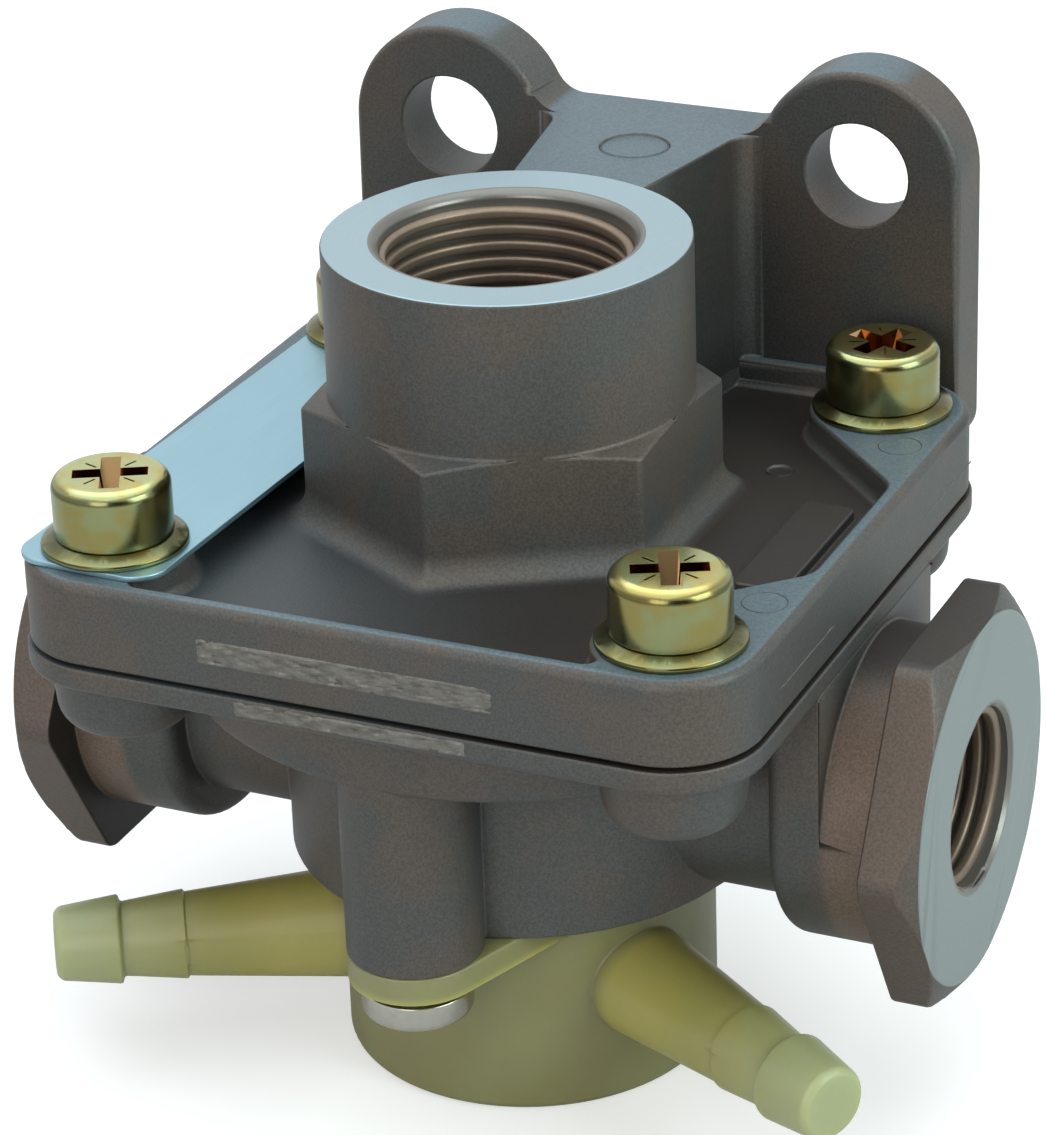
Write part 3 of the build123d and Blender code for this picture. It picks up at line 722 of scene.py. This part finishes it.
def placeOnPoints(tree, given, geometry):
    # Copies of the geometry, made small and turned as each point says, as real meshes
    small = move(tree, geometry, Scale=(mm, mm, mm))
    turn = addNode(tree, "GeometryNodeInputNamedAttribute", {"data_type": "FLOAT_VECTOR"}, Name="turn")
    placed = addNode(tree, "GeometryNodeInstanceOnPoints", Points=given["Geometry"], Instance=small,
                     Rotation=turn.outputs[0])
    return addNode(tree, "GeometryNodeRealizeInstances", Geometry=placed.outputs[0]).outputs[0]


shank = {
    "headFootEdge": 0.12, "sunk": 0.2, "tipEdge": 0.6, "segments": 48, "threadStart": 0.8, "bare": 3.0,
    "rootShare": 0.85, "crestShare": 0.2, "steps": 28,
}


def makeScrewTree(turned, thread, recess):
    # Head with recess, collar, core and thread, set on each point of the object and turned as it says
    tree, given, result = newTree("recessedScrews", [
        ("Head Radius", "Float", 5.1), ("Head Height", "Float", 5.3), ("Head Edge", "Float", 1.1),
        ("Collar Radius", "Float", 4.0), ("Collar Height", "Float", 0.9),
        ("Core Radius", "Float", 2.5), ("Thread Height", "Float", 0.45), ("Shank Length", "Float", 14.0),
        ("Pitch", "Float", 1.0), ("Span", "Float", 6.4), ("Width", "Float", 1.7), ("Depth", "Float", 2.8),
        ("Finish", "Material", None), ("Recess Finish", "Material", None)])
    head = useGroup(tree, turned, {"Radius": given["Head Radius"], "Top": given["Head Height"],
                                   "Top Edge": given["Head Edge"], "Bottom Edge": shank["headFootEdge"]})
    tool = useGroup(tree, recess, {label: given[label] for label in ("Span", "Width", "Depth")})
    amber = addNode(tree, "GeometryNodeSetMaterial", Geometry=tool, Material=given["Recess Finish"])
    cutter = move(tree, amber.outputs[0], Translation=vector(tree, z=given["Head Height"]))
    cut = addNode(tree, "GeometryNodeMeshBoolean", {"operation": "DIFFERENCE", "solver": "EXACT"})
    fill(tree, cut, {"Mesh 1": head, "Mesh 2": cutter})
    collar = useGroup(tree, turned, {"Radius": given["Collar Radius"], "Top": shank["sunk"],
                                     "Bottom": negative(tree, given["Collar Height"])})
    tip = negative(tree, given["Shank Length"])
    core = useGroup(tree, turned, {"Radius": given["Core Radius"], "Bottom": tip, "Top": shank["sunk"],
                                   "Bottom Edge": shank["tipEdge"], "Segments": shank["segments"]})
    spiral = useGroup(tree, thread, {
        "Wall Radius": given["Core Radius"], "Start": plus(tree, tip, shank["threadStart"]),
        "Length": minus(tree, given["Shank Length"], shank["bare"]), "Pitch": given["Pitch"],
        "Height": given["Thread Height"], "Root Width": times(tree, given["Pitch"], shank["rootShare"]),
        "Crest Width": times(tree, given["Pitch"], shank["crestShare"]), "Outward": 1.0,
        "Steps per Turn": shank["steps"]})
    joined = addNode(tree, "GeometryNodeJoinGeometry")
    for part in (cut.outputs[0], collar, core, spiral):
        tree.links.new(part, joined.inputs[0])
    real = placeOnPoints(tree, given, joined.outputs[0])
    isRecess = addNode(tree, "GeometryNodeMaterialSelection", Material=given["Recess Finish"]).outputs[0]
    others = addNode(tree, "FunctionNodeBooleanMath", {"operation": "NOT"}, i0=isRecess).outputs[0]
    coated = addNode(tree, "GeometryNodeSetMaterial", Geometry=real, Selection=others,
                     Material=given["Finish"])
    tree.links.new(coated.outputs[0], result[0])
    return tree


def makePortTree(thread):
    # One thread ridge set on each point of the object, along the axis that its turn gives
    tree, given, result = newTree("portThreads", [
        ("Wall Radius", "Float", 11.0), ("Start", "Float", 0.0), ("Length", "Float", 10.0),
        ("Pitch", "Float", 1.5), ("Height", "Float", 0.8), ("Finish", "Material", None)])
    labels = ("Wall Radius", "Start", "Length", "Pitch", "Height")
    spiral = useGroup(tree, thread, {label: given[label] for label in labels})
    coated = addNode(tree, "GeometryNodeSetMaterial", Geometry=placeOnPoints(tree, given, spiral),
                     Material=given["Finish"])
    tree.links.new(coated.outputs[0], result[0])
    return tree


def runTree(name, tree, points, turns, values, smoothAngle):
    # Points in millimetres and turns in degrees go in as the object's vertices; a plain mesh comes out
    mesh = bpy.data.meshes.new(name + "Places")
    mesh.from_pydata([tuple(mm * c for c in point) for point in points], [], [])
    layer = mesh.attributes.new("turn", "FLOAT_VECTOR", "POINT")
    for row, turn in zip(layer.data, turns):
        row.vector = tuple(math.radians(a) for a in turn)
    source = linkObject(name + "Source", mesh)
    modifier = source.modifiers.new("nodes", "NODES")
    modifier.node_group = tree
    for socket in tree.interface.items_tree:
        if socket.item_type == "SOCKET" and socket.in_out == "INPUT" and socket.name in values:
            modifier[socket.identifier] = values[socket.name]
    evaluated = source.evaluated_get(bpy.context.evaluated_depsgraph_get())
    made = bpy.data.meshes.new_from_object(evaluated)
    made.name = name
    bpy.data.objects.remove(source)
    shell = bmesh.new()
    shell.from_mesh(made)
    loose = [edge for edge in shell.edges if not edge.link_faces]
    bmesh.ops.delete(shell, geom=loose, context="EDGES")
    bmesh.ops.recalc_face_normals(shell, faces=shell.faces)
    shell.to_mesh(made)
    shell.free()
    made.shade_smooth()
    made.set_sharp_from_angle(angle=math.radians(smoothAngle))
    print(name, len(made.polygons), "faces")
    return linkObject(name, made)


turnedTree = makeTurnedTree()
threadTree = makeThreadTree()
recessTree = makeRecessTree()
screwTree = makeScrewTree(turnedTree, threadTree, recessTree)
portTree = makePortTree(threadTree)

coverScrew = {
    "Head Radius": 5.1, "Head Height": 5.3, "Head Edge": 1.1, "Collar Radius": 4.0, "Collar Height": 0.0,
    "Core Radius": 2.55, "Thread Height": 0.42, "Shank Length": 14.9, "Pitch": 1.0, "Span": 6.4,
    "Width": 1.7, "Depth": 2.8, "Finish": materials["zinc"], "Recess Finish": materials["recess"],
    "turns": {"front_left": 27, "front_right": 25, "rear_left": 10, "rear_right": -20}, "smoothAngle": 35,
}
capScrew = {
    "Head Radius": 4.9, "Head Height": 2.5, "Head Edge": 0.7, "Collar Radius": 4.0, "Collar Height": 0.9,
    "Core Radius": 2.1, "Thread Height": 0.37, "Shank Length": 11.8, "Pitch": 0.8, "Span": 6.0,
    "Width": 1.5, "Depth": 1.9, "Finish": materials["silver"], "Recess Finish": materials["silver"],
    "turns": {"1": 12, "2": 40, "3": -25}, "smoothAngle": 35,
}


def makeScrews(name, prefix, sizes, tilt):
    # The head's outer face lies on the CAD screw's: on top of it, or below where the screw is turned over
    seats = []
    for ending in sizes["turns"]:
        low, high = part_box(prefix + ending)
        lift = low.z / mm + sizes["Head Height"] if tilt else high.z / mm - sizes["Head Height"]
        seats.append(((low.x + high.x) / 2 / mm, (low.y + high.y) / 2 / mm, lift))
    turns = [(tilt, 0, turn) for turn in sizes["turns"].values()]
    screws = runTree(name, screwTree, seats, turns, sizes, sizes["smoothAngle"])
    finishPiece(screws, "valve", [prefix + ending for ending in sizes["turns"]])


makeScrews("coverScrews", "cover_screw_", coverScrew, 0)
makeScrews("lugScrews", "cap_screw_", capScrew, 180)

inletThread = {
    "Wall Radius": 11.0, "Start": 61.6, "Length": 14.5, "Pitch": 1.5, "Height": 0.8,
    "Finish": materials["machined"], "places": [(0, 0, 0)], "turns": [(0, 0, 0)], "smoothAngle": 40,
}
outletThread = {
    "Wall Radius": 8.0, "Start": 29.5, "Length": 13.3, "Pitch": 1.5, "Height": 0.8,
    "Finish": materials["machined"], "places": [(0, 0, turnedSkin["outletHeight"])] * 2,
    "turns": [(0, 90, 0), (0, -90, 0)], "smoothAngle": 40,
}
for name, sizes in (("inletThread", inletThread), ("outletThreads", outletThread)):
    made = runTree(name, portTree, sizes["places"], sizes["turns"], sizes, sizes["smoothAngle"])
    finishPiece(made, "valve", [])
print("screws and threads made")


# Marks of the casting: gates broken off the front walls, rough and a little proud

gate = {
    "step": 0.2, "proud": 0.18, "level": 0.62, "roughness": 0.75, "sunk": 0.03, "thick": 0.4, "edgeSteps": 3,
    "noiseAcross": 0.7, "noiseUp": 1.9, "seedStep": 10.0, "fractal": (0.8, 2.2, 4),
}
gateStrips = {
    "coverGate": {"left": -14.0, "right": 13.0, "bottom": 49.75, "top": 52.1, "wall": -33.8, "seed": 3},
    "bodyGate": {"left": -10.7, "right": 10.6, "bottom": 45.6, "top": 47.0, "wall": -34.1, "seed": 8},
}


def castMark(name, shell, finish):
    bmesh.ops.recalc_face_normals(shell, faces=shell.faces)
    mesh = bpy.data.meshes.new(name)
    shell.to_mesh(mesh)
    shell.free()
    mesh.materials.append(materials[finish])
    finishPiece(linkObject(name, mesh), "valve", [])


def gateScar(name, sizes):
    # Two grids of vertices, the front one rough, joined round their edge
    width, height = sizes["right"] - sizes["left"], sizes["top"] - sizes["bottom"]
    across = round(width / gate["step"])
    upward = round(height / gate["step"])
    shift = Vector((0, 0, sizes["seed"] * gate["seedStep"]))
    shell = bmesh.new()
    front, back = {}, {}
    places = [(row, column) for row in range(upward + 1) for column in range(across + 1)]
    for row, column in places:
        x = sizes["left"] + width * column / across
        z = sizes["bottom"] + height * row / upward
        fade = min(column, across - column, gate["edgeSteps"] * row, gate["edgeSteps"] * (upward - row))
        spot = Vector((x * gate["noiseAcross"], z * gate["noiseUp"], 0)) + shift
        rough = gate["level"] + gate["roughness"] * spaceNoise.fractal(spot, *gate["fractal"])
        proud = gate["proud"] * rough * min(1, fade / gate["edgeSteps"]) - gate["sunk"]
        front[row, column] = shell.verts.new((x * mm, (sizes["wall"] - proud) * mm, z * mm))
        back[row, column] = shell.verts.new((x * mm, (sizes["wall"] + gate["thick"]) * mm, z * mm))
    for row, column in places:
        if row < upward and column < across:
            loop = [(row, column), (row, column + 1), (row + 1, column + 1), (row + 1, column)]
            shell.faces.new([front[place] for place in loop])
            shell.faces.new([back[place] for place in reversed(loop)])
    rim = [(0, c) for c in range(across)] + [(r, across) for r in range(upward)]
    rim += [(upward, c) for c in range(across, 0, -1)] + [(r, 0) for r in range(upward, 0, -1)]
    for a, b in zip(rim, rim[1:] + rim[:1]):
        shell.faces.new((front[b], front[a], back[a], back[b]))
    castMark(name, shell, "scar")


for name, sizes in gateStrips.items():
    gateScar(name, sizes)


# Thin flash left along the die's parting line on both side walls, and the rims of two ejector marks

flash = {
    "wall": 33.2, "height": 50.1, "proud": 0.07, "half": 0.11, "sunk": 0.1,
    "runs": ((-22.4, -8.7), (12.5, 26.0)), "steps": 40, "fadeSteps": 4, "endShare": 0.02,
    "level": 0.75, "wave": 0.5, "drift": 0.12, "noiseAlong": 0.9, "noiseSide": 5.0,
}
ejectors = {
    "top": 55.1, "places": ((30.0, -17.1), (29.8, 16.3)), "radius": 1.9, "half": 0.14, "proud": 0.06,
    "sunk": 0.1, "segments": 64,
}


def makeRidges(name, paths, finish):
    # Closed ridges of triangular section; each path is a list of rings of three points
    shell = bmesh.new()
    for rings, isLoop in paths:
        rows = [[shell.verts.new([c * mm for c in point]) for point in ring] for ring in rings]
        pairs = list(zip(rows, rows[1:] + rows[:1]))
        for a, b in pairs if isLoop else pairs[:-1]:
            for k in range(3):
                shell.faces.new((a[k], a[(k + 1) % 3], b[(k + 1) % 3], b[k]))
        if not isLoop:
            shell.faces.new(rows[0])
            shell.faces.new(rows[-1])
    castMark(name, shell, finish)


def flashPath(side, start, end):
    rings = []
    steps = flash["steps"]
    for step in range(steps + 1):
        y = start + (end - start) * step / steps
        wobble = spaceNoise.noise(Vector((y * flash["noiseAlong"], side * flash["noiseSide"], 0)))
        fade = min(1.0, step / flash["fadeSteps"], (steps - step) / flash["fadeSteps"])
        share = fade * (flash["level"] + flash["wave"] * wobble) + flash["endShare"]
        height = flash["height"] + flash["drift"] * wobble
        root = side * (flash["wall"] - flash["sunk"])
        rings.append([(root, y, height - flash["half"] * share),
                      (side * (flash["wall"] + flash["proud"] * share), y, height),
                      (root, y, height + flash["half"] * share)])
    return rings, False


def ejectorPath(x, y):
    outline = ((-ejectors["half"], -ejectors["sunk"]), (0.0, ejectors["proud"]),
               (ejectors["half"], -ejectors["sunk"]))
    rings = []
    for step in range(ejectors["segments"]):
        turn = 2 * math.pi * step / ejectors["segments"]
        ring = []
        for off, lift in outline:
            radius = ejectors["radius"] + off
            ring.append((x + radius * math.cos(turn), y + radius * math.sin(turn), ejectors["top"] + lift))
        rings.append(ring)
    return rings, True


makeRidges("partingFlash", [flashPath(side, *run) for side in (1, -1) for run in flash["runs"]], "scar")
makeRidges("ejectorRims", [ejectorPath(*place) for place in ejectors["places"]], "casting")
print("gate marks, flash and ejector rims made")


# Floor, lights and camera

def makeSheet(name, outline):
    mesh = bpy.data.meshes.new(name)
    mesh.from_pydata(outline, [], [(0, 1, 2, 3)])
    mesh.update()
    return linkObject(name, mesh)


ground = {
    "half": 3.0, "colour": (0.60, 0.60, 0.60, 1), "roughness": 0.9, "lift": 0.50, "glossyShare": 0.2,
    "fade": (250.0, 900.0),
}


def makeFloor():
    half = ground["half"]
    floor = makeSheet("floor", [(-half, -half, 0), (half, -half, 0), (half, half, 0), (-half, half, 0)])
    material, tree, shader = newMaterial("paleFloor")
    rays = addNode(tree, "ShaderNodeLightPath").outputs
    seen = larger(tree, rays["Is Camera Ray"], rays["Is Transmission Ray"])
    seen = larger(tree, seen, times(tree, rays["Is Glossy Ray"], ground["glossyShare"]))
    # Far from the object the floor fades into the white background
    x, y = objectPlace(tree)[1:3]
    far = times(tree, ramp(tree, distance(tree, x, y), *ground["fade"]), rays["Is Camera Ray"])
    strength = plus(tree, times(tree, seen, ground["lift"]), times(tree, far, 1.0 - ground["lift"]))
    fill(tree, shader, {"Base Color": ground["colour"], "Roughness": ground["roughness"],
                        "Emission Color": white, "Emission Strength": strength})
    # Seen from below it is clear, so that the underside can be looked at
    below = addNode(tree, "ShaderNodeNewGeometry").outputs["Backfacing"]
    clear = addNode(tree, "ShaderNodeBsdfTransparent").outputs[0]
    mixed = addNode(tree, "ShaderNodeMixShader", i0=below, i1=shader.outputs["BSDF"], i2=clear)
    tree.links.new(mixed.outputs[0], tree.nodes["Material Output"].inputs["Surface"])
    floor.data.materials.append(material)


shot = {
    "azimuth": 24.709, "elevation": 25.342, "roll": -1.954, "aim": (1.426, 1.212, 46.32), "distance": 380.84,
    "focalPixels": 4309.1, "centreX": 538.65, "centreY": 557.73, "width": 1046, "height": 1135,
    "sensor": 36.0, "clipStart": 0.01, "clipEnd": 20.0,
}
flag = {
    "colour": (0.03, 0.028, 0.026, 1), "distance": 1.2, "halfWidth": 1.0, "bottom": 0.12, "top": 1.1,
    "lean": 0.3,
}


def makeFlag():
    # A dark card behind the camera, seen only in reflections, as in a photographer's studio
    azimuth = math.radians(shot["azimuth"])
    out = Vector((math.sin(azimuth), -math.cos(azimuth), 0))
    across = Vector((math.cos(azimuth), math.sin(azimuth), 0)) * flag["halfWidth"]
    foot = out * flag["distance"] + Vector((0, 0, flag["bottom"]))
    head = foot + Vector((0, 0, flag["top"] - flag["bottom"])) + out * flag["lean"]
    card = makeSheet("flag", [foot - across, foot + across, head + across, head - across])
    material, tree, shader = newMaterial("blackCard")
    fill(tree, shader, {"Base Color": flag["colour"], "Roughness": 1.0})
    card.data.materials.append(material)
    card.visible_camera = False
    card.visible_diffuse = False
    card.visible_shadow = False
    card.visible_transmission = False


studio = {
    "world": (0.84, 0.90, 0.94, 1), "worldStrength": 0.38, "aim": (0, 0, 0.04),
    "lamps": {
        "key": {"place": (-0.13, 0.05, 0.88), "size": 1.3, "power": 8.8, "colour": (0.88, 0.96, 1.0)},
        "front": {"place": (0.05, -0.95, 0.40), "size": 0.5, "power": 4.0, "colour": (1.0, 0.95, 0.90)},
        "back": {"place": (0.80, -0.10, 0.45), "size": 0.5, "power": 5.2, "colour": (0.84, 1.0, 0.96)},
    },
}


def makeLights():
    for name, sizes in studio["lamps"].items():
        light = bpy.data.lights.new(name, "AREA")
        light.energy = sizes["power"]
        light.size = sizes["size"]
        light.color = sizes["colour"]
        lamp = bpy.data.objects.new(name, light)
        bpy.context.scene.collection.objects.link(lamp)
        lamp.location = sizes["place"]
        towards = Vector(studio["aim"]) - Vector(sizes["place"])
        lamp.rotation_euler = towards.to_track_quat("-Z", "Y").to_euler()
    # The background is white where it is seen, and a dimmer sky where it only lights the object
    world = bpy.data.worlds.new("studio")
    bpy.context.scene.world = world
    world.use_nodes = True
    tree = world.node_tree
    rays = addNode(tree, "ShaderNodeLightPath").outputs
    seen = larger(tree, rays["Is Camera Ray"], rays["Is Glossy Ray"])
    seen = larger(tree, seen, rays["Is Transmission Ray"])
    strength = plus(tree, studio["worldStrength"], times(tree, seen, 1.0 - studio["worldStrength"]))
    fill(tree, tree.nodes["Background"], {"Color": mixColour(tree, seen, studio["world"], white),
                                          "Strength": strength})


def makeCamera():
    azimuth, elevation = math.radians(shot["azimuth"]), math.radians(shot["elevation"])
    back = Vector((math.sin(azimuth) * math.cos(elevation), -math.cos(azimuth) * math.cos(elevation),
                   math.sin(elevation)))
    right = Vector((math.cos(azimuth), math.sin(azimuth), 0))
    upright = Matrix((right, back.cross(right), back)).transposed()
    turn = upright @ Matrix.Rotation(math.radians(shot["roll"]), 3, "Z")
    data = bpy.data.cameras.new("photoCamera")
    data.sensor_width = shot["sensor"]
    data.lens = shot["focalPixels"] * shot["sensor"] / shot["height"]
    data.shift_x = (shot["width"] / 2 - shot["centreX"]) / shot["height"]
    data.shift_y = (shot["centreY"] - shot["height"] / 2) / shot["height"]
    data.clip_start = shot["clipStart"]
    data.clip_end = shot["clipEnd"]
    camera = bpy.data.objects.new("photoCamera", data)
    bpy.context.scene.collection.objects.link(camera)
    place = Vector(shot["aim"]) * mm + back * shot["distance"] * mm
    camera.matrix_world = Matrix.Translation(place) @ turn.to_4x4()
    bpy.context.scene.camera = camera


makeFloor()
makeFlag()
makeLights()
makeCamera()
bpy.context.scene.view_settings.view_transform = "Standard"
print("floor, lights and camera made")
